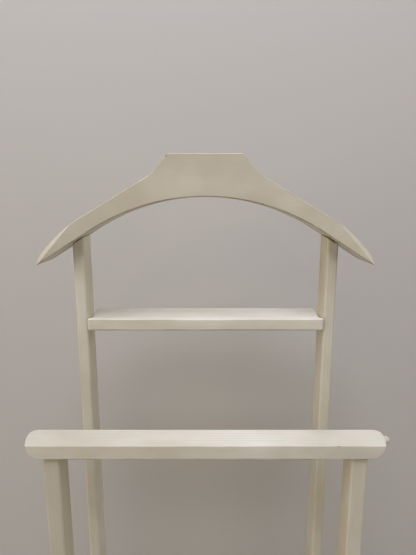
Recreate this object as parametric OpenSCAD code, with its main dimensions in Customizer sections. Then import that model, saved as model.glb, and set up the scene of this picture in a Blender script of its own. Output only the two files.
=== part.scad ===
// Folding wooden clothes valet stand, painted cream.
// A rear frame carries the jacket hanger and a small tray, a lower and wider front frame
// carries the trouser bar. Both frames are bolted to two floor rails and to two short stays,
// so the four pivots of each side make a parallelogram and the stand folds flat.
// Frame: origin on the floor midway between the rails, +Z up, the front looks along -Y.

/* [Overall] */
// Height of the top of the hanger above the floor
stand_h = 1050; // [1000:10:1120]
// Width across the outer faces of the two rear uprights
rear_w = 354; // [330:2:380]
// Side gap between a rear upright and the front leg beside it
side_gap = 11; // [10:0.5:16]
// Length of a floor rail from toe to heel
rail_len = 320; // [300:5:360]

/* [Rear frame] */
// Thickness of an upright across the stand
upright_t = 15; // [13:0.5:20]
// Depth of an upright from front to back
upright_d = 37.5; // [32:0.5:42]
// Rounding of the long edges of the uprights, legs and stretchers
edge_r = 3; // [1:0.5:4]
// Height of the middle of the rear stretcher above the floor
rear_stretcher_z = 300; // [285:5:330]

/* [Hanger] */
// Width of the hanger from tip to tip
hanger_w = 432; // [410:2:460]
// Height of the hanger at its middle, from the arch to the flat top
hanger_h = 54; // [46:1:64]
// Drop of the tips below the flat top
tip_drop = 140.5; // [134:0.5:148]
// Thickness of the hanger from front to back
hanger_t = 60; // [50:1:66]
// Width of the flat top
top_w = 95; // [70:1:110]
// Distance between the two inner corners where the arms begin
neck_w = 140; // [126:1:150]
// Drop of those corners below the flat top
neck_drop = 25.5; // [20:0.5:30]
// Slope of the straight part of an arm's upper edge, in degrees
arm_deg = 31; // [29:0.5:32]
// Distance from the middle at which the arm's upper edge begins to bend down
bend_x = 158; // [150:1:162]
// Radius of that bend
bend_r = 190; // [175:1:240]
// Radius of the tighter bend at the end of an arm
nose_r = 32; // [24:1:40]
// Radius of the arch under the hanger
arch_r = 280; // [265:5:300]
// How far the front of the hanger stands before the uprights
hanger_proud = 8; // [5:0.5:12]
// How far the tips sweep forward of the middle
sweep = 18; // [8:1:20]
// Distance from the middle at which the sweep begins
sweep_x = 60; // [40:1:80]
// Distance from the middle at which the bevel of the upper front edge begins
bevel_x = 171; // [160:1:180]
// Angle of that bevel to the front face, in degrees
bevel_deg = 45; // [35:1:60]

/* [Tray] */
// Drop of the top of the tray below the top of the hanger
tray_drop = 218; // [200:1:222]
// Thickness of the tray
tray_t = 15.5; // [14:0.5:20]
// Depth of the tray from front to back
tray_d = 63; // [50:1:70]
// How far the front of the tray stands before the uprights
tray_proud = 5; // [2:0.5:8]
// Rounding of the tray's corners seen from above
tray_corner_r = 4; // [2:0.5:4.5]
// Depth of the dished groove along the top
groove_depth = 3.5; // [2:0.5:4]
// Width of the groove
groove_w = 42; // [30:1:44]
// Width of the lip before the groove
groove_lip = 8; // [6:0.5:8]

/* [Front frame] */
// Distance from a rear pivot forward to the front pivot
pivot_reach = 70.5; // [69:0.5:80]
// Height of a rear pivot above the front pivot
pivot_drop = 40; // [39.5:0.5:44]
// Thickness of a front leg across the stand
leg_t = 21; // [18:0.5:24]
// Depth of a front leg from front to back
leg_d = 34.5; // [33:0.5:36]
// Height of the middle of the front stretcher above the floor
front_stretcher_z = 262; // [255:1:290]

/* [Trouser bar] */
// Drop of the top of the trouser bar below the top of the hanger
bar_drop = 365; // [360:1:390]
// How far the front edge of the bar passes each front leg
bar_overhang = 20; // [16:1:32]
// Thickness of the bar
bar_t = 18.5; // [18:0.5:22]
// Depth of the bar from front to back
bar_d = 40; // [37:0.5:40]
// How far the bar stands before the front legs
bar_proud = 3; // [2.5:0.5:5]
// How far each end swells beyond the front corner
bar_flare = 7; // [4:0.5:9]
// Rounding of the lower edge of each end
bar_end_r = 17; // [10:0.5:17.5]
// Rounding of the rear corners seen from above
bar_corner_r = 9.5; // [6:0.5:11]
// Radius of the head of the turned peg in the right end of the bar
peg_r = 5; // [4:0.5:6]
// Length of the peg outside the bar
peg_len = 9; // [8:0.5:16]

/* [Foot frame] */
// Thickness of a floor rail, which runs in the side gap
rail_t = 9; // [8:0.5:9.2]
// Height of the low part of a rail above the floor
rail_h = 48; // [46:1:56]
// Height of the top of a rail's hump above the floor
hump_h = 116; // [112:1:126]
// Distance from a rear pivot back to the heel of its rail
heel_reach = 80; // [76:1:100]
// Height of a rear pivot above the floor
pivot_z = 70; // [68:0.5:74]
// Radius of the round rods between the rails
rod_r = 7; // [6:0.5:7.5]
// Distance from one shoe rod to the next
rod_pitch = 54; // [46:1:58]
// Drop of the shoe rods below the rear pivots
rod_drop = 34; // [30:0.5:36]
// Height of the stop rod above the rear pivots
stop_rise = 20; // [16:1:22]
// Height of the glides under the rails
glide_h = 4; // [3:0.5:6]

/* [Stays] */
// Height of the rear pivot of a stay above the floor
stay_z = 400; // [380:5:430]
// Width of a stay
stay_w = 26; // [20:1:30]

/* [Hardware] */
// Radius of the pivot bolts
bolt_r = 3; // [2.5:0.25:4]
// Radius of the wooden dowels
dowel_r = 4; // [3:0.5:4.5]
// Radius of the thin dowels in the ends of the tray
thin_dowel_r = 3; // [2.5:0.25:3.5]
// Thickness of the nylon washers at the pivots
washer_t = 0.8; // [0.5:0.1:0.8]

/* [Hidden] */

// Clearances
seat_gap = 0.3;        // beside a face that another piece comes to rest on
turn_gap = 0.2;        // between a bolt's head or nut and a face that turns against it
fit_gap = 0.05;        // round a dowel, tenon or shank in the piece that holds it
run_gap = 0.08;        // round a shank in a piece that turns on it
open_gap = 0.25;       // round a shank at the front pivot of a stay
tray_gap = 0.5;        // at each end of the tray
dowel_end_gap = 0.5;   // beyond the end of a dowel

// Colours
cream = [0.86, 0.83, 0.74];
beech = [0.80, 0.66, 0.47];
steel = [0.66, 0.66, 0.68];
nylon = [0.92, 0.92, 0.90];

// Places across the stand, on the right-hand side
upright_out = rear_w / 2;
upright_in = upright_out - upright_t;
leg_in = upright_out + side_gap;
leg_out = leg_in + leg_t;
rail_mid = upright_out + side_gap / 2;
rail_in = rail_mid - rail_t / 2;
rail_out = rail_mid + rail_t / 2;

// Places from front to back: the rails are centred on the origin
toe_y = -rail_len / 2;
heel_y = rail_len / 2;
pivot_y = heel_y - heel_reach;
upright_front = pivot_y - upright_d / 2;
front_y = pivot_y - pivot_reach;
front_z = pivot_z - pivot_drop;
leg_front = front_y - leg_d / 2;
bar_front = leg_front - bar_proud;

// Heights, and the ends of the bar's front edge
tray_z = stand_h - tray_drop;
bar_z = stand_h - bar_drop;
bar_bottom = bar_z - bar_t;
bar_half = leg_out + bar_overhang;

// The hanger's outline: tip, arch and the flat seats of the uprights
tip = [hanger_w / 2, stand_h - tip_drop];
arch_mid = [0, stand_h - hanger_h - arch_r];
tip_far = norm(tip - arch_mid);
arch_end_deg = atan2(tip.x, tip.y - arch_mid.y) - acos(arch_r / tip_far);
function seat_z(x) = tip.y + (tip.x - x) * tan(arch_end_deg);
function sweep_at(x) = sweep * pow(max(0, abs(x) - sweep_x) / (tip.x - sweep_x), 2);
function hanger_front(x) = upright_front - hanger_proud - sweep_at(x);

// Points of an arc about a centre, the angle counted clockwise from straight up
function arc(mid, r, from, to, steps) =
    [for (i = [0:steps]) let (a = from + (to - from) * i / steps) mid + r * [sin(a), cos(a)]];
function mirrored(half) = [for (i = [len(half) - 1:-1:0]) [-half[i].x, half[i].y]];
// A rectangle between two corners with all four corners rounded
function rounded(lo, hi, r, steps = 6) = concat(
    arc([hi.x - r, hi.y - r], r, 0, 90, steps), arc([hi.x - r, lo.y + r], r, 90, 180, steps),
    arc([lo.x + r, lo.y + r], r, 180, 270, steps), arc([lo.x + r, hi.y - r], r, 270, 360, steps));

// A drawing in Y and Z carried along X, and one in X and Z carried along Y
module along_x(x0, x1) translate([x0, 0, 0]) rotate([90, 0, 90]) linear_extrude(x1 - x0) children();
module along_y(y0, y1) translate([0, y1, 0]) rotate([90, 0, 0]) linear_extrude(y1 - y0) children();
module along_z(z0, z1) translate([0, 0, z0]) linear_extrude(z1 - z0) children();
module both_sides() {
    children();
    mirror([1, 0, 0]) children();
}
// A round bar along X
module x_rod(x0, x1, y, z, r) translate([x0, y, z]) rotate([0, 90, 0]) cylinder(h = x1 - x0, r = r, $fn = 48);
// A round bar along Z
module z_rod(x, y, z0, z1, r) translate([x, y, z0]) cylinder(h = z1 - z0, r = r, $fn = 48);

// ---- Dowels: where each one sits, used by the dowel and by its two holes ----
dowel_up = 12;         // length of a dowel above a joint
dowel_down = 20;       // length of a dowel below a joint
dowel_side = 10;       // length of a dowel in an upright or leg
dowel_in = 18;         // length of a dowel in a tray or stretcher
dowel_apart = 9;       // half the distance between the two dowels of a joint
hanger_dowel_x = upright_out - upright_t / 2;
bar_dowel_x = leg_in + leg_t / 2;
tray_dowel_z = tray_z - groove_depth - (tray_t - groove_depth) / 2;

module hanger_dowel_set(r, more)
    both_sides() for (s = [-1, 1])
        z_rod(hanger_dowel_x, pivot_y + s * dowel_apart, seat_z(hanger_dowel_x) - dowel_down - more,
              seat_z(hanger_dowel_x) + dowel_up + more, r);
module bar_dowel_set(r, more)
    both_sides() for (s = [-1, 1])
        z_rod(bar_dowel_x, front_y + s * dowel_apart, bar_bottom - dowel_down - more,
              bar_bottom + dowel_up + more, r);
module tray_dowel_set(r, more)
    both_sides() for (s = [-1, 1])
        x_rod(upright_in - tray_gap - dowel_in - more, upright_in + dowel_side + more,
              pivot_y + s * dowel_apart, tray_dowel_z, r);
module stretcher_dowel_set(face_x, y, z, r, more)
    both_sides() for (s = [-1, 1])
        x_rod(face_x - dowel_in - more, face_x + dowel_side + more, y, z + s * dowel_apart, r);

// ---- Rear frame ----

// The jacket hanger: a thick board sawn to a shoulder line, with an arch below, both faces
// swept forward towards the tips, and the upper front edge bevelled off into each tip.
function arm_top() =
    let (neck = [neck_w / 2, stand_h - neck_drop],
         bend = [bend_x, neck.y - (bend_x - neck.x) * tan(arm_deg)],
         mid = bend - bend_r * [sin(arm_deg), cos(arm_deg)],
         reach = tip - mid,
         inset = bend_r - nose_r,
         side = (pow(norm(reach), 2) + pow(inset, 2) - pow(nose_r, 2)) / (2 * inset),
         nose_deg = atan2(reach.x, reach.y) - acos(side / norm(reach)),
         nose_mid = mid + inset * [sin(nose_deg), cos(nose_deg)],
         last = tip - nose_mid)
    concat([[top_w / 2, stand_h], neck], arc(mid, bend_r, arm_deg, nose_deg, 8),
           arc(nose_mid, nose_r, nose_deg, atan2(last.x, last.y), 8));

module hanger_outline() {
    top = arm_top();
    low = arc(arch_mid, arch_r, 0, arch_end_deg, 14);
    half_low = [for (i = [len(low) - 1:-1:0]) low[i]];
    polygon(concat(top, half_low, [for (i = [1:len(low) - 1]) [-low[i].x, low[i].y]], mirrored(top)));
}

module hanger_plan() {
    beyond = 5;
    half = tip.x + beyond;
    steps = 24;
    line = [for (i = [-steps:steps]) let (x = half * i / steps) [x, hanger_front(x)]];
    polygon(concat(line, [for (i = [len(line) - 1:-1:0]) line[i] + [0, hanger_t]]));
}

// The wedge that bevels the upper front edge from bevel_x out to the tip
module tip_bevel() {
    bend_z = lookup(bevel_x, arm_top());
    from = [bevel_x, hanger_front(bevel_x), bend_z];
    run = [tip.x, hanger_front(tip.x), tip.y] - from;
    flat_run = norm([run.x, run.y]);
    reach = norm(run);
    translate(from)
        rotate([0, atan2(-run.z, flat_run), atan2(run.y, run.x)])
            rotate([bevel_deg, 0, 0])
                translate([-reach / 4, -reach / 2, 0])
                    cube([reach * 1.5, reach, reach / 2]);
}

module hanger() color(cream)
    difference() {
        intersection() {
            along_y(upright_front - hanger_t, upright_front + 2 * hanger_t) hanger_outline();
            along_z(tip.y - hanger_h, stand_h + hanger_h) hanger_plan();
        }
        both_sides() tip_bevel();
        hanger_dowel_set(dowel_r + fit_gap, dowel_end_gap);
    }

// An upright: soft-edged board, round at the foot about its pivot, cut to the slope of the hanger
module upright() {
    top = seat_z(upright_in) + upright_t;
    difference() {
        intersection() {
            along_z(pivot_z - upright_d, top)
                polygon(rounded([upright_in, upright_front], [upright_out, upright_front + upright_d], edge_r));
            along_y(upright_front - 1, upright_front + upright_d + 1)
                polygon([[upright_in - 1, pivot_z - upright_d], [upright_out + 1, pivot_z - upright_d],
                         [upright_out + 1, seat_z(upright_out + 1)], [upright_in - 1, seat_z(upright_in - 1)]]);
            along_x(upright_in - 1, upright_out + 1) union() {
                translate([pivot_y, pivot_z]) circle(d = upright_d, $fn = 72);
                translate([upright_front, pivot_z]) square([upright_d, top - pivot_z]);
            }
        }
        hanger_dowel_set(dowel_r + fit_gap, dowel_end_gap);
        tray_dowel_set(thin_dowel_r + fit_gap, dowel_end_gap);
        stretcher_dowel_set(upright_in, pivot_y, rear_stretcher_z, dowel_r + fit_gap, dowel_end_gap);
        x_rod(upright_in - 1, upright_out + 1, pivot_y, pivot_z, bolt_r + run_gap);
        x_rod(upright_in - 1, upright_out + 1, pivot_y, stay_z, bolt_r + fit_gap);
    }
}
module upright_right() color(cream) upright();
module upright_left() color(cream) mirror([1, 0, 0]) upright();

// The tray: a board deeper than the uprights with a shallow dished groove along its top
module tray() color(cream) {
    front = upright_front - tray_proud;
    end_x = upright_in - tray_gap;
    groove_r = (pow(groove_w / 2, 2) + pow(groove_depth, 2)) / (2 * groove_depth);
    groove_y = front + groove_lip + groove_w / 2;
    groove_deg = asin(groove_w / 2 / groove_r);
    groove_mid = [groove_y, tray_z - groove_depth + groove_r];
    difference() {
        intersection() {
            along_x(-end_x - 1, end_x + 1)
                polygon(concat([[front - 1, tray_z], [front - 1, tray_z - tray_t],
                                [front + tray_d + 1, tray_z - tray_t], [front + tray_d + 1, tray_z]],
                               arc(groove_mid, groove_r, 180 - groove_deg, 180 + groove_deg, 16)));
            along_z(tray_z - tray_t - 1, tray_z + 1)
                polygon(rounded([-end_x, front], [end_x, front + tray_d], tray_corner_r));
        }
        tray_dowel_set(thin_dowel_r + fit_gap, dowel_end_gap);
    }
}

// A stretcher: a soft-edged board on edge between two faces
stretcher_h = 45;
stretcher_t = 16;
module stretcher(face_x, y, z)
    difference() {
        along_x(-face_x, face_x)
            polygon(rounded([y - stretcher_t / 2, z - stretcher_h / 2], [y + stretcher_t / 2, z + stretcher_h / 2],
                            edge_r));
        stretcher_dowel_set(face_x, y, z, dowel_r + fit_gap, dowel_end_gap);
    }
module rear_stretcher() color(cream) stretcher(upright_in, pivot_y, rear_stretcher_z);

module hanger_dowels() color(beech) hanger_dowel_set(dowel_r, 0);
module tray_dowels() color(beech) tray_dowel_set(thin_dowel_r, 0);
module rear_stretcher_dowels() color(beech)
    stretcher_dowel_set(upright_in, pivot_y, rear_stretcher_z, dowel_r, 0);

// ---- Front frame ----

// The trouser bar: its ends swell a little towards the rear corners and are rounded below
bar_flare_d = bar_d - bar_corner_r;
module trouser_bar() color(cream) {
    end_x = bar_half + bar_flare;
    flare_y = bar_front + bar_flare_d;
    flare_r = (pow(bar_flare_d, 2) + pow(bar_flare, 2)) / (2 * bar_flare);
    flare_deg = asin(bar_flare_d / flare_r);
    half = concat(arc([end_x - bar_corner_r, flare_y], bar_corner_r, 0, 90, 8),
                  arc([end_x - flare_r, flare_y], flare_r, 90, 90 + flare_deg, 8));
    difference() {
        along_z(bar_bottom, bar_z) polygon(concat(half, mirrored(half)));
        both_sides() bar_end_rounding();
        bar_dowel_set(dowel_r + fit_gap, dowel_end_gap);
        x_rod(end_x - peg_tenon - dowel_end_gap, end_x + 1, peg_y, peg_z, peg_neck_r + fit_gap);
    }
}
module bar_end_rounding() {
    slant = atan2(bar_flare, bar_flare_d);
    spare = bar_flare;
    translate([bar_half, bar_front, bar_bottom]) rotate([0, 0, -slant])
        along_y(-bar_d / 2, bar_d * 1.5) difference() {
            translate([-bar_end_r, -spare]) square([bar_end_r + 2 * spare, bar_end_r + spare]);
            translate([-bar_end_r, bar_end_r]) circle(r = bar_end_r, $fn = 72);
        }
}

// The turned peg in the right end of the bar: a straight tenon and neck with a domed head
peg_tenon = 14;
peg_neck_r = peg_r * 0.7;
peg_y = bar_front + bar_d * 0.68;
peg_z = bar_z - bar_t * 0.4;
module bar_peg() color(cream)
    translate([bar_half + bar_flare - peg_tenon, peg_y, peg_z]) rotate([0, 90, 0])
        rotate_extrude($fn = 40) polygon(concat(
            [[0, 0], [peg_neck_r, 0], [peg_neck_r, peg_tenon + peg_len - peg_r * 1.2]],
            [for (a = [-30:15:75]) [peg_r * cos(a), peg_tenon + peg_len - peg_r * (1 - sin(a))]],
            [[0, peg_tenon + peg_len]]));

// A front leg: soft-edged, square under the bar and round at the foot about its pivot
module front_leg() {
    difference() {
        intersection() {
            along_z(front_z - leg_d, bar_bottom)
                polygon(rounded([leg_in, leg_front], [leg_out, leg_front + leg_d], edge_r));
            along_x(leg_in - 1, leg_out + 1) union() {
                translate([front_y, front_z]) circle(d = leg_d, $fn = 72);
                translate([leg_front, front_z]) square([leg_d, bar_z - front_z]);
            }
        }
        bar_dowel_set(dowel_r + fit_gap, dowel_end_gap);
        stretcher_dowel_set(leg_in, front_y, front_stretcher_z, dowel_r + fit_gap, dowel_end_gap);
        x_rod(leg_in - 1, leg_out + 1, front_y, front_z, bolt_r + run_gap);
        x_rod(leg_in - 1, leg_out + 1, front_y, stay_z - pivot_drop, bolt_r + fit_gap);
    }
}
module front_leg_right() color(cream) front_leg();
module front_leg_left() color(cream) mirror([1, 0, 0]) front_leg();
module front_stretcher() color(cream) stretcher(leg_in, front_y, front_stretcher_z);
module bar_dowels() color(beech) bar_dowel_set(dowel_r, 0);
module front_stretcher_dowels() color(beech)
    stretcher_dowel_set(leg_in, front_y, front_stretcher_z, dowel_r, 0);

// ---- Foot frame ----

// Where the rods cross the rails, as [y, z]
tenon_r = rod_r - 2;
tenon_len = rail_t - 2;
shoe_rod_y = pivot_y - 2 * pivot_drop - rod_drop;
rod_front = [shoe_rod_y - 2 * rod_pitch, pivot_z - rod_drop];
rod_middle = [shoe_rod_y - rod_pitch, pivot_z - rod_drop];
rod_rear = [shoe_rod_y, pivot_z - rod_drop];
rod_tie = [pivot_y + heel_reach - 3 * rod_r, pivot_z - rod_drop];
rod_stop = [pivot_y + upright_d / 2 + rod_r + seat_gap, pivot_z + stop_rise];

// A floor rail: low and long in front, with a hump that carries the rear pivot and the stop rod
hump_y = pivot_y + 10;
hump_front_w = 80;
function hump(y) =
    let (w = y < hump_y ? hump_front_w : heel_y - hump_y - 4, t = min(1, abs(y - hump_y) / w))
    rail_h + (hump_h - rail_h) * (1 + cos(180 * t)) / 2;
module rail_outline() {
    toe_r = 28;
    heel_r = 16;
    steps = 40;
    y0 = toe_y + toe_r;
    y1 = heel_y - heel_r;
    polygon(concat(
        [[toe_y, glide_h]],
        arc([toe_y + toe_r, rail_h - toe_r], toe_r, -90, 0, 10),
        [for (i = [1:steps - 1]) let (y = y0 + (y1 - y0) * i / steps) [y, hump(y)]],
        arc([heel_y - heel_r, hump(y1) - heel_r], heel_r, 0, 90, 8),
        [[heel_y, glide_h]]));
}
module foot_rail() {
    difference() {
        along_x(rail_in, rail_out) rail_outline();
        for (at = [rod_front, rod_middle, rod_rear, rod_tie, rod_stop])
            x_rod(rail_in - 1, rail_in + tenon_len + dowel_end_gap, at.x, at.y, tenon_r + fit_gap);
        x_rod(rail_in - 1, rail_out + 1, pivot_y, pivot_z, bolt_r + fit_gap);
        x_rod(rail_in - 1, rail_out + 1, front_y, front_z, bolt_r + fit_gap);
        glide_set(glide_pin_r + fit_gap, dowel_end_gap);
    }
}
module foot_rail_right() color(cream) foot_rail();
module foot_rail_left() color(cream) mirror([1, 0, 0]) foot_rail();

// A round rod between the rails, with a thinner tenon at each end
module rod(at) color(cream) {
    x_rod(-rail_in, rail_in, at.x, at.y, rod_r);
    x_rod(-rail_in - tenon_len, rail_in + tenon_len, at.x, at.y, tenon_r);
}
module shoe_rod_front() rod(rod_front);
module shoe_rod_middle() rod(rod_middle);
module shoe_rod_rear() rod(rod_rear);
module tie_rod() rod(rod_tie);
module stop_rod() rod(rod_stop);

// Nylon glides, each with a pin driven up into the rail
glide_pin_r = 1.5;
glide_pin_len = 10;
glide_len = 26;
glide_inset = 6;
glide_ys = [toe_y + glide_inset + glide_len / 2, heel_y - glide_inset - glide_len / 2];
module glide_set(pin_r, more)
    for (y = glide_ys) z_rod(rail_mid, y, glide_h, glide_h + glide_pin_len + more, pin_r);
module foot_glides() color(nylon)
    both_sides() {
        for (y = glide_ys)
            along_z(0, glide_h)
                polygon(rounded([rail_mid - rail_t / 2 + 0.5, y - glide_len / 2],
                                [rail_mid + rail_t / 2 - 0.5, y + glide_len / 2], 3));
        glide_set(glide_pin_r, 0);
    }

// ---- Stays ----

// A stay: a flat link with round ends, its front eye a little larger than its bolt
module stay() {
    link = [-pivot_reach, -pivot_drop];
    lean = atan2(link.y, link.x);
    difference() {
        along_x(rail_in, rail_out) translate([pivot_y, stay_z]) rotate(lean)
            polygon(concat(arc([norm(link), 0], stay_w / 2, 0, 180, 18), arc([0, 0], stay_w / 2, 180, 360, 18)));
        x_rod(rail_in - 1, rail_out + 1, pivot_y, stay_z, bolt_r + run_gap);
        x_rod(rail_in - 1, rail_out + 1, front_y, stay_z - pivot_drop, bolt_r + open_gap);
    }
}
module stay_right() color(cream) stay();
module stay_left() color(cream) mirror([1, 0, 0]) stay();

// ---- Bolts, nuts and washers ----
head_r = 2.2 * bolt_r;
head_h = 1.1 * bolt_r;
socket_w = 1.33 * bolt_r;
socket_depth = 0.65 * head_h;
nut_r = 1.9 * bolt_r;
nut_h = 1.9 * bolt_r;
washer_r = 2.6 * bolt_r;

// A button-headed bolt along X: the head's flat side at x0, the shank running to x1, and a
// hexagon socket in the top of the head
module bolt(x0, x1, y, z) {
    way = sign(x1 - x0);
    dome_r = (pow(head_r, 2) + pow(head_h, 2)) / (2 * head_h);
    translate([x0, y, z]) rotate([0, way * 90, 0]) difference() {
        union() {
            cylinder(h = abs(x1 - x0), r = bolt_r, $fn = 40);
            rotate_extrude($fn = 40)
                polygon(concat([[0, 0], [head_r, 0]],
                    [for (i = [1:6]) let (a = asin(head_r / dome_r) * (1 - i / 6))
                        [dome_r * sin(a), dome_r - head_h - dome_r * cos(a)]]));
        }
        translate([0, 0, -head_h - 1]) cylinder(h = socket_depth + 1, d = socket_w / cos(30), $fn = 6);
    }
}
// A domed cap nut along X, with its flat side at x0 and the dome towards way
module cap_nut(x0, way, y, z)
    translate([x0, y, z]) rotate([0, way * 90, 0]) difference() {
        union() {
            cylinder(h = nut_h * 0.55, r = nut_r, $fn = 6);
            rotate_extrude($fn = 40) polygon(concat([[0, 0]],
                [for (a = [0:15:75]) [nut_r * 0.84 * cos(a), nut_h * 0.55 + nut_h * 0.45 * sin(a)]],
                [[0, nut_h]]));
        }
        translate([0, 0, -1]) cylinder(h = nut_h * 0.6 + 1, r = bolt_r + fit_gap, $fn = 40);
    }
module washer(x0, y, z)
    difference() {
        x_rod(x0, x0 + washer_t, y, z, washer_r);
        x_rod(x0 - 1, x0 + washer_t + 1, y, z, bolt_r + fit_gap);
    }
bolt_in_nut = nut_h * 0.5;
inner_washer_x = (upright_out + rail_in - washer_t) / 2;
outer_washer_x = (rail_out + leg_in - washer_t) / 2;

module rear_pivot_bolts() color(steel)
    both_sides() bolt(upright_in - turn_gap, rail_out + bolt_in_nut, pivot_y, pivot_z);
module rear_pivot_nuts() color(steel) both_sides() cap_nut(rail_out, 1, pivot_y, pivot_z);
module front_pivot_bolts() color(steel)
    both_sides() bolt(leg_out + turn_gap, rail_in - bolt_in_nut, front_y, front_z);
module front_pivot_nuts() color(steel) both_sides() cap_nut(rail_in, -1, front_y, front_z);
module stay_rear_bolts() color(steel)
    both_sides() bolt(upright_in, rail_out + turn_gap + bolt_in_nut, pivot_y, stay_z);
module stay_rear_nuts() color(steel) both_sides() cap_nut(rail_out + turn_gap, 1, pivot_y, stay_z);
module stay_front_bolts() color(steel)
    both_sides() bolt(leg_out, rail_in - turn_gap - bolt_in_nut, front_y, stay_z - pivot_drop);
module stay_front_nuts() color(steel)
    both_sides() cap_nut(rail_in - turn_gap, -1, front_y, stay_z - pivot_drop);
module rail_washers() color(nylon)
    both_sides() {
        washer(inner_washer_x, pivot_y, pivot_z);
        washer(outer_washer_x, front_y, front_z);
    }
module stay_washers() color(nylon)
    both_sides() {
        washer(inner_washer_x, pivot_y, stay_z);
        washer(outer_washer_x, front_y, stay_z - pivot_drop);
    }

hanger();
upright_left();
upright_right();
tray();
rear_stretcher();
hanger_dowels();
tray_dowels();
rear_stretcher_dowels();
stay_rear_bolts();
stay_rear_nuts();
trouser_bar();
bar_peg();
front_leg_left();
front_leg_right();
front_stretcher();
bar_dowels();
front_stretcher_dowels();
stay_front_bolts();
stay_front_nuts();
foot_rail_left();
foot_rail_right();
shoe_rod_front();
shoe_rod_middle();
shoe_rod_rear();
tie_rod();
stop_rod();
foot_glides();
rear_pivot_bolts();
rear_pivot_nuts();
front_pivot_bolts();
front_pivot_nuts();
rail_washers();
stay_left();
stay_right();
stay_washers();
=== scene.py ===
from functools import partial
from math import radians

import bmesh
import bpy
from mathutils import Euler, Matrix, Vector


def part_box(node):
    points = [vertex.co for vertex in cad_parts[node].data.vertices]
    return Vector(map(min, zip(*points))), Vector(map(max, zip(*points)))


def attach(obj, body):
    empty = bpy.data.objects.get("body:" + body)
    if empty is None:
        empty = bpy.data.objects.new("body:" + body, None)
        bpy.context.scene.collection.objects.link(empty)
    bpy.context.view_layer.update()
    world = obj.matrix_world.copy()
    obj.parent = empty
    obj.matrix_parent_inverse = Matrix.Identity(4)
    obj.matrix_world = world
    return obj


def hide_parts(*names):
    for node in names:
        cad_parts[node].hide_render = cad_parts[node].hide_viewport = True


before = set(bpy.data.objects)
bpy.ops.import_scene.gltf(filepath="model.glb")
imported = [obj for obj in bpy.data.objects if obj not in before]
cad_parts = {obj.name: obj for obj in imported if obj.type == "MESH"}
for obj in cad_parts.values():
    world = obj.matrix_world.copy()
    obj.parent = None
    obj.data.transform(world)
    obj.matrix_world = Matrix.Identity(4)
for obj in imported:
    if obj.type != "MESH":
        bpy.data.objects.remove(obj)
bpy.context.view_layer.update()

scene = bpy.context.scene
scene.view_settings.view_transform = "Standard"


# ---- Camera ----
# A hand-held camera a little over half a metre before the rear frame, at the height of the
# hanger's arch and tipped down, so that the hanger and the top of the trouser bar both show.
upright_lo, upright_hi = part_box("upright_right")
rear_front_y = upright_lo[1]
camera_aside, camera_reach, camera_height, tipped_deg = 0.0033, 0.560, 0.992, 10.4
camera_data = bpy.data.cameras.new("camera")
camera_data.sensor_width = 36.0
camera_data.lens = 27.44
camera = bpy.data.objects.new("camera", camera_data)
camera.location = (camera_aside, rear_front_y - camera_reach, camera_height)
camera.rotation_euler = Euler((radians(90 - tipped_deg), 0, 0))
scene.collection.objects.link(camera)
scene.camera = camera


# ---- Uprights of the rear frame ----
# Two planed pine boards, dowelled up into the hanger, sanded, and brushed with satin cream
# paint. Their long edges are rounded over, and the paint bridges the end cuts with a soft film.
def linear(hex_colour):
    """The linear colour, with its alpha, of an sRGB hex value."""
    channels = [int(hex_colour[i:i + 2], 16) / 255 for i in (1, 3, 5)]
    return [c / 12.92 if c <= 0.04045 else ((c + 0.055) / 1.055) ** 2.4 for c in channels] + [1]


def add_node(tree, kind, inputs=(), out=0, **settings):
    """Adds a node with its own settings, and returns the output that out names or numbers.
    Each input is given a value, or a link from another node's output."""
    node = tree.nodes.new(kind)
    for name, value in settings.items():
        setattr(node, name, value)
    for name, value in dict(inputs).items():
        if isinstance(value, bpy.types.NodeSocket):
            tree.links.new(value, node.inputs[name])
        else:
            node.inputs[name].default_value = value
    return node.outputs[out] if len(node.outputs) else None


def new_finish(name):
    """An empty material, the function that adds its nodes, and the coordinates on its piece."""
    material = bpy.data.materials.new(name)
    material.use_nodes = True
    material.node_tree.nodes.clear()
    add = partial(add_node, material.node_tree)
    return material, add, add("ShaderNodeTexCoord", out="Object")


# Where the two colours of a Mix node go in and where they come out
FIRST, SECOND, MIXED = 6, 7, 2
NEW_PAINT, AGED_PAINT, BRUSH_MARK = "#DBD5C3", "#BDB39B", "#B5AB95"
RING_LINE, RUBBED_PAINT_AND_SHADE, BARED_WOOD = "#A9A08C", "#9C8A69", "#6B573C"
RING_PITCH = 0.0042
WAVE_PERIOD = 0.314  # from one band of a Wave texture of scale 1 to the next


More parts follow.
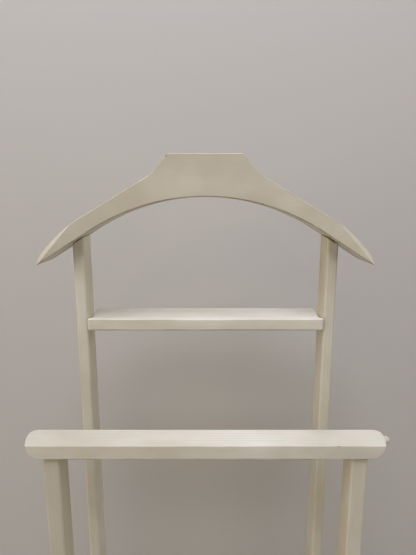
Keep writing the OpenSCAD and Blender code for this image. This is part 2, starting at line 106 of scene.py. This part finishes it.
def painted_pine(name, grain, board, rings=0.15, fresh_and_lit=0.0):
    """Satin cream paint, brushed thin over planed pine, so that the growth rings show as fine
    grey lines, the arrises are darkened to a warmer tone, partly as rubbed paint and partly as
    painted shade where they look down, and the film has a slight ripple.

    grain is the axis that the fibres follow, board sets this piece apart from the others, rings
    is how far the rings show, and fresh_and_lit how much lighter the paint is: partly paint that
    has kept from yellowing and partly painted light and shade, lighter for pieces seen from
    above and darker for those seen from the front.
    """
    material, add, coordinates = new_finish(name)
    seat = [board * step for step in (3.1, 1.7, 2.3)]

    def stretch(across, along, shift=1.0):
        """Counts the coordinates in steps of across and, down the grain, of along, in metres."""
        return {"Vector": coordinates, "Location": [shift * place for place in seat],
                "Scale": [1 / along if axis == grain else 1 / across for axis in "XYZ"]}

    # Growth rings, about 4 mm apart on a quarter-sawn face, wandering a little down the board
    ring_wave = add("ShaderNodeTexWave", {
        "Vector": add("ShaderNodeMapping", stretch(RING_PITCH / WAVE_PERIOD,
                                                   12 * RING_PITCH / WAVE_PERIOD)),
        "Scale": 1.0, "Distortion": 5.0, "Detail": 1.0, "Detail Scale": 0.35},
        out="Fac", wave_type="BANDS", bands_direction="Y" if grain == "X" else "X")

    # Uneven patterns: size across and down the grain, shift, detail and roughness
    sinking, streaks, ageing, film, rubbing = [add("ShaderNodeTexNoise", {
        "Vector": add("ShaderNodeMapping", stretch(across, along, shift)),
        "Scale": 1.0, "Detail": detail, "Roughness": rough}, out="Fac")
        for across, along, shift, detail, rough in (
            # Places about 0.1 by 0.4 m where the paint has sunk, and the rings show more
            (0.10, 0.40, 2.0, 2.0, 0.5),
            # Brush marks and pores: 2.5 mm wide and 150 mm long, drawn coarser than the 0.5 mm
            # of real ones, which would not show
            (0.0025, 0.15, 3.0, 3.0, 0.6),
            # A slow drift between the new and the yellowed paint, 0.1 m wide
            (0.07, 0.12, 5.0, 3.0, 0.6),
            # Orange peel of the film, about 4 mm across
            (0.004, 0.004, 1.0, 2.0, 0.5),
            # Where hands and cloth have rubbed the arrises, in stretches of 30 mm; this also
            # sets how dark
            #             # the painted shade on them is
            (0.006, 0.03, 7.0, 3.0, 0.5))]
    arris = add("ShaderNodeAttribute", out="Fac", attribute_name="arris")
    # Knocks about 30 mm apart, each counted from its middle
    knock = add("ShaderNodeTexVoronoi", {
        "Vector": add("ShaderNodeMapping", stretch(0.03, 0.03, 9.0)),
        "Scale": 1.0}, out="Distance")

    # How far each pattern tells: its low and its high value, and what they are turned into
    late_wood, sunk, new, brushed, rubbed_and_shaded, on_arris, knocked, roughness = [
        add("ShaderNodeMapRange", {"Value": value, "From Min": low, "From Max": high,
                                   "To Min": at_low, "To Max": at_high}, out="Result")
        for value, low, high, at_low, at_high in (
            (ring_wave, 0.55, 1.0, 0.0, 1.0),
            (sinking, 0.35, 0.65, 0.25, 1.0),
            # Moved per piece: partly paint that has kept from yellowing, partly painted light
            # and shade
            (ageing, 0.2 - fresh_and_lit, 0.8 - fresh_and_lit, 0.0, 1.0),
            (streaks, 0.35, 0.75, 0.0, 0.22),
            (rubbing, 0.42, 0.62, 0.3, 0.9),
            (arris, 0.0, 0.3, 0.0, 1.0),
            (knock, 0.04, 0.06, 1.0, 0.0),
            (streaks, 0.3, 0.7, 0.38, 0.52))]
    ring_depth, worn_and_shaded, nick = [
        add("ShaderNodeMath", {0: first, 1: second}, operation="MULTIPLY")
        for first, second in ((late_wood, sunk), (arris, rubbed_and_shaded), (on_arris, knocked))]
    ring_share = add("ShaderNodeMath", {0: ring_depth, 1: rings}, operation="MULTIPLY")

    # Each tone lies over the ones before. In the nicks, 3 mm wide, the wood is bare and dark.
    paint = linear(AGED_PAINT)
    for share, tone in ((new, NEW_PAINT), (brushed, BRUSH_MARK), (ring_share, RING_LINE),
                        (worn_and_shaded, RUBBED_PAINT_AND_SHADE), (nick, BARED_WOOD)):
        paint = add("ShaderNodeMix", {0: share, FIRST: paint, SECOND: linear(tone)},
                    out=MIXED, data_type="RGBA")

    # The rings and nicks lie deeper than the film, and the streaks and its peel stand up from it
    relief = {}
    for height, strength, depth, sinks in ((ring_depth, 0.5 * rings, 0.0003, True),
                                           (streaks, 0.25, 0.0002, False),
                                           (film, 0.15, 0.0003, False),
                                           (nick, 0.5, 0.0004, True)):
        relief = {"Normal": add("ShaderNodeBump", {
            "Height": height, "Strength": strength, "Distance": depth, **relief}, invert=sinks)}
    shader = add("ShaderNodeBsdfPrincipled", {
        "Base Color": paint, "Roughness": roughness, "IOR": 1.5, **relief})
    add("ShaderNodeOutputMaterial", {"Surface": shader})
    return material


SHARP_DEG = 28  # an edge that turns further than this is an arris
FLAT_DEG = 0.4  # faces that turn less than this are one face
SAME_POINT = 0.000002
ON_CUT = 0.00001
SHORTEST_ARRIS = 0.0007
# How dark the arrises are painted: partly rubbed wear and partly painted shade, so the faces
# that look down are darkest and those that look up the lightest
WORN_AND_SHADED_BELOW, WORN_AND_SHADED_BESIDE, WORN_AND_SHADED_ABOVE = 1.0, 0.8, 0.35


def cad_form(node, closing=SAME_POINT):
    """The mesh of a CAD solid to work on, its near vertices joined and its flat faces whole."""
    form = bmesh.new()
    form.from_mesh(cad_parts[node].data)
    bmesh.ops.remove_doubles(form, verts=form.verts, dist=closing)
    bmesh.ops.dissolve_limit(form, angle_limit=radians(FLAT_DEG), verts=form.verts,
                             edges=form.edges)
    form.faces.layers.float.new("arris")
    return form


def arrises(form, shortest=0.0):
    """The sharp outward edges that are longer than shortest."""
    return [edge for edge in form.edges if edge.is_manifold and edge.calc_length() > shortest
            and edge.calc_face_angle_signed() > radians(SHARP_DEG)]


def round_over(form, edges, radius, segments=3):
    """Rounds edges over, and marks the new faces for the paint to darken, partly as rubbed wear
    and partly as painted shade: those that look down the most, and those that look up the least."""
    rounded = bmesh.ops.bevel(form, geom=edges, offset=radius, offset_type="OFFSET",
                              affect="EDGES", segments=segments, profile=0.5, material=-1,
                              clamp_overlap=False)
    arris = form.faces.layers.float["arris"]
    for face in rounded["faces"]:
        face.normal_update()
        # Painted shade: faces that look down are darkened most, faces that look up least
        face[arris] = (WORN_AND_SHADED_BELOW if face.normal.z < -0.1 else
                       WORN_AND_SHADED_ABOVE if face.normal.z > 0.3 else WORN_AND_SHADED_BESIDE)


def shade_and_rub_lower_edge(form, height):
    """Marks the lowest strip of a board's sides for the paint to darken: a painted shade along
    its lower edge, with rubbed wear.
    """
    level = min(vert.co.z for vert in form.verts) + height
    bmesh.ops.bisect_plane(form, geom=form.verts[:] + form.edges[:] + form.faces[:],
                           plane_co=(0, 0, level), plane_no=(0, 0, 1), dist=ON_CUT)
    arris = form.faces.layers.float["arris"]
    for face in form.faces:
        # Painted shade along the lower edge, with rubbed wear
        if face.calc_center_median().z < level and face.normal.z > -0.5:
            face[arris] = WORN_AND_SHADED_BELOW


def stand_for(node, body, form, material):
    """Makes the form the visible piece in place of a CAD solid."""
    bmesh.ops.remove_doubles(form, verts=form.verts, dist=SAME_POINT)
    for face in form.faces:
        face.smooth = True
        face.material_index = 0
    mesh = bpy.data.meshes.new(node + "_eased")
    form.to_mesh(mesh)
    form.free()
    mesh.materials.append(material)
    piece = bpy.data.objects.new(node + "_eased", mesh)
    scene.collection.objects.link(piece)
    flat_first = piece.modifiers.new("flat_faces_first", "WEIGHTED_NORMAL")
    flat_first.weight = 100
    flat_first.keep_sharp = True
    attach(piece, body)
    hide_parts(node)


def ease(node, body, material, radius=0.0012, segments=3, shortest=SHORTEST_ARRIS,
         rubbed_and_shaded=0.0):
    """Shows a CAD solid with its arrises eased by radius. Shorter edges than shortest, such as
    the rims of dowel holes inside a joint, stay as cut. Its sides are darkened from the bottom
    up to the height that the last argument gives: a painted shade, with rubbed wear."""
    form = cad_form(node, max(SAME_POINT, 0.4 * shortest))
    round_over(form, arrises(form, shortest), radius, segments)
    if rubbed_and_shaded:
        shade_and_rub_lower_edge(form, rubbed_and_shaded)
    stand_for(node, body, form, material)


# The joints at the heads have opened towards the front as the boards shrank, the right one more
upright_depth = upright_hi[1] - upright_lo[1]
# The right upright's paint is set darker than the left's: a painted shade.
for side, board, opening, fresh_and_lit in (("left", 1.0, 0.0012, 0.0), ("right", 2.0, 0.0024, -0.15)):
    upright_form = cad_form("upright_" + side, closing=0.0003)
    head = {vert for face in upright_form.faces if face.normal.z > 0.5 for vert in face.verts}
    for vert in head:
        vert.co.z -= opening * (1 - (vert.co.y - rear_front_y) / upright_depth)
    round_over(upright_form, arrises(upright_form, SHORTEST_ARRIS), radius=0.0008)
    stand_for("upright_" + side, "rear_frame", upright_form,
              painted_pine("cream_paint_upright_" + side, "Z", board, rings=0.09, fresh_and_lit=fresh_and_lit))


# ---- Hanger ----
# One thick pine blank, sawn to the shoulder line and arch and moulded to its sweep. Its arrises
# are rounded first, and the upper front edge of each arm is then planed off crisply to the tip.
# The copy leaves out the dowel holes, which are closed inside the joints.
hanger_form = cad_form("hanger")
leaning = 0.2  # how far the planed faces look forward, up and out, at the least
chamfers = [max((face for face in hanger_form.faces
                 if face.normal.y < -leaning and face.normal.z > leaning
                 and face.normal.x * arm > leaning),
                key=lambda face: face.calc_area()) for arm in (-1, 1)]
planed = [(face.calc_center_median(), face.normal.copy()) for face in chamfers]
# The back keeps the whole outline: the blank is the back, carried forward by the thickness
back = {max(hanger_form.faces, key=lambda face: face.calc_center_median().y)}
growing = list(back)
while growing:
    for edge in growing.pop().edges:
        for face in edge.link_faces:
            if face not in back and edge.calc_face_angle() < radians(SHARP_DEG):
                back.add(face)
                growing.append(face)
middle = [vert.co.y for vert in hanger_form.verts if abs(vert.co.x) < ON_CUT]
bmesh.ops.delete(hanger_form, geom=[face for face in hanger_form.faces if face not in back],
                 context="FACES")
blank = bmesh.ops.extrude_face_region(hanger_form, geom=hanger_form.faces[:], use_keep_orig=True)
bmesh.ops.translate(hanger_form, vec=(0, min(middle) - max(middle), 0),
                    verts=[new for new in blank["geom"] if isinstance(new, bmesh.types.BMVert)])
bmesh.ops.recalc_face_normals(hanger_form, faces=hanger_form.faces)
hanger_form.normal_update()
round_over(hanger_form, arrises(hanger_form), radius=0.0014)
for spot, outward in planed:
    cut = bmesh.ops.bisect_plane(
        hanger_form, geom=hanger_form.verts[:] + hanger_form.edges[:] + hanger_form.faces[:],
        plane_co=spot, plane_no=outward, dist=ON_CUT, clear_outer=True)["geom_cut"]
    rim = [edge for edge in cut if isinstance(edge, bmesh.types.BMEdge) and edge.is_boundary]
    bmesh.ops.holes_fill(hanger_form, edges=rim, sides=0)
    for edge in rim:
        edge.smooth = False
# The hanger's paint is set darker: a painted shade on its front.
stand_for("hanger", "rear_frame", hanger_form,
          painted_pine("cream_paint_hanger", "X", 4.2, rings=0.1, fresh_and_lit=-0.24))


# ---- Tray ----
# A pine board between the uprights with a shallow dished groove for small things, its corners
# rounded and its edges broken with sandpaper before painting.
# The tray's paint is set a little lighter, a painted light on its top, and its lower edge is
# darkened, a painted shade with rubbed wear.
ease("tray", "rear_frame",
     painted_pine("cream_paint_tray", "X", 6.5, rings=0.3, fresh_and_lit=0.04), rubbed_and_shaded=0.0016)


# ---- Stretchers ----
# Pine boards on edge with softened arrises, one in each frame. They are butted between the
# uprights and between the legs on two glued dowels at each end, and keep the frames square.
ease("rear_stretcher", "rear_frame",
     painted_pine("cream_paint_rear_stretcher", "X", 8.1))
ease("front_stretcher", "front_frame",
     painted_pine("cream_paint_front_stretcher", "X", 9.4))


# ---- Front legs ----
# Two square-cut pine legs with softened edges, dowelled up into the trouser bar. They are sawn
# round at the foot, where they turn on bolts in the floor rails.
# The legs' paint is set darker: a painted shade on their fronts.
for side, board in (("left", 11.3), ("right", 12.3)):
    ease("front_leg_" + side, "front_frame",
         painted_pine("cream_paint_front_leg_" + side, "Z", board, rings=0.09, fresh_and_lit=-0.26))


# ---- Trouser bar and peg ----
# A wide flat pine bar dowelled on the front legs, its ends shaped and its underside rounded off.
# Its top is quarter-sawn, so fine ring lines run along it. A small turned peg sits in one end.
# The bar's paint is set lighter, a painted light on its top, and its lower edge is darkened, a
# painted shade with rubbed wear.
ease("trouser_bar", "front_frame",
     painted_pine("cream_paint_trouser_bar", "X", 14.0, rings=0.6, fresh_and_lit=0.08),
     radius=0.0007, rubbed_and_shaded=0.0013)
ease("bar_peg", "front_frame", painted_pine("cream_paint_peg", "X", 15.5))


# ---- Foot frame ----
# Two shaped pine rails on edge. Turned rods are glued into them on thinner tenons: three carry
# the shoes, one ties the rails at the back, and one stops the rear frame from leaning further.
for side, board in (("left", 17.7), ("right", 18.7)):
    ease("foot_rail_" + side, "foot_frame",
         painted_pine("cream_paint_foot_rail_" + side, "Y", board))
rod_paint = painted_pine("cream_paint_rods", "X", 20.6)
for rod in ("shoe_rod_front", "shoe_rod_middle", "shoe_rod_rear", "tie_rod", "stop_rod"):
    ease(rod, "foot_frame", rod_paint, radius=0.0008)


# ---- Stays ----
# Short flat pine links with round ends, drilled and bolted to an upright and a leg on each
# side. They keep the two frames parallel while the stand folds.
for side, board in (("left", 23.9), ("right", 24.9)):
    ease("stay_" + side, "stays",
         painted_pine("cream_paint_stay_" + side, "Y", board), radius=0.001)


# ---- Dowels ----
# Plain round beech dowels, unpainted, with the rims of their ends taken off. They are glued in
# the joints and hidden once the stand is put together.
def bare_beech(name):
    """Unfinished beech: pale brown, matt, with short dark flecks along the fibres."""
    material, add, coordinates = new_finish(name)
    fleck_size = 0.0012
    flecks = add("ShaderNodeTexNoise", {
        "Vector": coordinates, "Scale": 1 / fleck_size, "Detail": 3.0}, out="Fac")
    tone = add("ShaderNodeMix", {
        0: flecks, FIRST: linear("#B08D5F"), SECOND: linear("#D2B387")},
        out=MIXED, data_type="RGBA")
    shader = add("ShaderNodeBsdfPrincipled", {"Base Color": tone, "Roughness": 0.7, "IOR": 1.5})
    add("ShaderNodeOutputMaterial", {"Surface": shader})
    return material


dowel_wood = bare_beech("bare_beech")
for dowels, body in (("hanger_dowels", "rear_frame"), ("tray_dowels", "rear_frame"),
                     ("rear_stretcher_dowels", "rear_frame"), ("bar_dowels", "front_frame"),
                     ("front_stretcher_dowels", "front_frame")):
    ease(dowels, body, dowel_wood, radius=0.0006)


# ---- Bolts and cap nuts ----
# Button-headed steel bolts and domed nuts, turned and then zinc-plated. Each bolt passes
# through its two pieces of wood, and is pulled up just tight enough to hold.
def zinc_plate(name):
    """Zinc-plated steel: a grey metal with a faint crystalline bloom and dull patches."""
    material, add, coordinates = new_finish(name)
    bloom_size = 0.0015
    bloom = add("ShaderNodeTexNoise", {
        "Vector": coordinates, "Scale": 1 / bloom_size, "Detail": 4.0}, out="Fac")
    tone = add("ShaderNodeMix", {
        0: bloom, FIRST: linear("#9A9C9F"), SECOND: linear("#C2C4C6")},
        out=MIXED, data_type="RGBA")
    dullness = add("ShaderNodeMapRange", {
        "Value": bloom, "To Min": 0.25, "To Max": 0.42}, out="Result")
    shader = add("ShaderNodeBsdfPrincipled", {
        "Base Color": tone, "Roughness": dullness, "Metallic": 1.0})
    add("ShaderNodeOutputMaterial", {"Surface": shader})
    return material


zinc = zinc_plate("zinc_plate")
for hardware, body in (("stay_rear_bolts", "rear_frame"), ("stay_rear_nuts", "rear_frame"),
                       ("stay_front_bolts", "front_frame"), ("stay_front_nuts", "front_frame"),
                       ("rear_pivot_bolts", "foot_frame"), ("rear_pivot_nuts", "foot_frame"),
                       ("front_pivot_bolts", "foot_frame"), ("front_pivot_nuts", "foot_frame")):
    ease(hardware, body, zinc, radius=0.0003, segments=2, shortest=0)


# ---- Washers and glides ----
# Moulded nylon. Thin washers keep the wood from rubbing at the pivots, and the glides, each
# with a pin, are driven up into the undersides of the rails.
def moulded_nylon(name):
    """Natural nylon: off-white, a little waxy, with the faint texture of the mould."""
    material, add, coordinates = new_finish(name)
    spark_size = 0.0006  # of the eroded mould's grain
    texture = add("ShaderNodeTexNoise", {
        "Vector": coordinates, "Scale": 1 / spark_size, "Detail": 2.0}, out="Fac")
    tone = add("ShaderNodeMix", {
        0: texture, FIRST: linear("#D3D0C4"), SECOND: linear("#DFDCD1")},
        out=MIXED, data_type="RGBA")
    bump = add("ShaderNodeBump", {"Height": texture, "Strength": 0.2, "Distance": 0.00005})
    shader = add("ShaderNodeBsdfPrincipled", {
        "Base Color": tone, "Roughness": 0.45, "IOR": 1.53, "Normal": bump})
    add("ShaderNodeOutputMaterial", {"Surface": shader})
    return material


nylon = moulded_nylon("moulded_nylon")
for part, body, radius in (("rail_washers", "foot_frame", 0.0001),
                           ("stay_washers", "stays", 0.0001),
                           ("foot_glides", "foot_frame", 0.0006)):
    ease(part, body, nylon, radius=radius, segments=2, shortest=0)


# ---- Stage: floor, wall and light ----
# A plain pale floor and a plain pale wall close behind, lit as in a room by day: a wide soft
# lamp overhead, a window to each side, a soft light behind for the views from there, and two
# small lamps that draw the shadows on the wall.
def flat_finish(name, hex_colour, one_sided=False):
    """Matt paint of one colour. On one side only, it isn't seen from behind, and it neither
    shades what is behind it nor takes light from it."""
    material, add, _ = new_finish(name)
    surface = add("ShaderNodeBsdfPrincipled", {
        "Base Color": linear(hex_colour), "Roughness": 0.9})
    if one_sided:
        unseen = add("ShaderNodeNewGeometry", out="Backfacing")
        for ray in ("Is Shadow Ray", "Is Diffuse Ray"):
            unseen = add("ShaderNodeMath", {0: unseen, 1: add("ShaderNodeLightPath", out=ray)},
                         operation="MAXIMUM")
        surface = add("ShaderNodeMixShader", {
            0: unseen, 1: surface, 2: add("ShaderNodeBsdfTransparent")})
    add("ShaderNodeOutputMaterial", {"Surface": surface})
    return material


def stage_sheet(name, corners, material):
    """A flat sheet between its corners that isn't part of the object."""
    form = bmesh.new()
    form.faces.new([form.verts.new(corner) for corner in corners])
    mesh = bpy.data.meshes.new(name)
    form.to_mesh(mesh)
    form.free()
    mesh.materials.append(material)
    sheet = bpy.data.objects.new(name, mesh)
    scene.collection.objects.link(sheet)


half_room = 4.0
wall_gap = 0.245
wall_y = rear_front_y + wall_gap
stage_sheet("floor", [(-half_room, -half_room, 0), (half_room, -half_room, 0),
                      (half_room, half_room, 0), (-half_room, half_room, 0)],
            flat_finish("pale_floor", "#C9C6C1"))
stage_sheet("wall", [(-half_room, wall_y, 0), (half_room, wall_y, 0),
                     (half_room, wall_y, half_room), (-half_room, wall_y, half_room)],
            flat_finish("pale_wall", "#BAB5AC", one_sided=True))

OVERCAST, SIDE_LIGHT, FROM_BEHIND, BULB = "#E2E9FF", "#FFF0DA", "#EEF2FF", "#FFECCE"
lit_spot = Vector((0, rear_front_y, 0.85))


def soft_lamp(name, place, width, power, tint, spread_deg=180, glare=True):
    """A round lamp that faces the lit spot. Without glare, no glossy surface shows it."""
    data = bpy.data.lights.new(name, "AREA")
    data.spread = radians(spread_deg)
    data.shape = "DISK"
    data.size = width
    data.energy = power
    data.color = linear(tint)[:3]
    lamp = bpy.data.objects.new(name, data)
    lamp.location = place
    lamp.rotation_euler = (lit_spot - Vector(place)).to_track_quat("-Z", "Y").to_euler()
    lamp.visible_camera = False
    lamp.visible_glossy = glare
    scene.collection.objects.link(lamp)


soft_lamp("ceiling", (-0.1, rear_front_y - 0.87, 3.1), 1.3, 67, OVERCAST)
for side, across, power in (("left", -2.3, 11.0), ("right", 2.3, 5.6)):
    soft_lamp("window_" + side, (across, rear_front_y - 0.85, 1.4), 2.2, power, SIDE_LIGHT,
              spread_deg=100, glare=False)
soft_lamp("behind", (0.3, rear_front_y + 2.0, 1.6), 1.6, 15, FROM_BEHIND)
for side, across, power in (("left", -0.33, 0.7), ("right", 0.64, 0.3)):
    soft_lamp("lamp_" + side, (across, rear_front_y - 1.08, 1.67), 0.17, power, BULB)

# The rest of the room: dim on the object, and pale where it is looked at
world = bpy.data.worlds.new("world")
scene.world = world
world.use_nodes = True
world.node_tree.nodes.clear()
add = partial(add_node, world.node_tree)
ambient = add("ShaderNodeBackground", {"Color": linear("#F4F2EE"), "Strength": 0.14})
pale_room = add("ShaderNodeBackground", {"Color": linear("#E4E1DC"), "Strength": 0.7})
looking = add("ShaderNodeLightPath", out="Is Camera Ray")
for ray in ("Is Glossy Ray", "Is Transmission Ray"):
    looking = add("ShaderNodeMath", {0: looking, 1: add("ShaderNodeLightPath", out=ray)},
                  operation="MAXIMUM")
around = add("ShaderNodeMixShader", {0: looking, 1: ambient, 2: pale_room})
add("ShaderNodeOutputWorld", {"Surface": around})
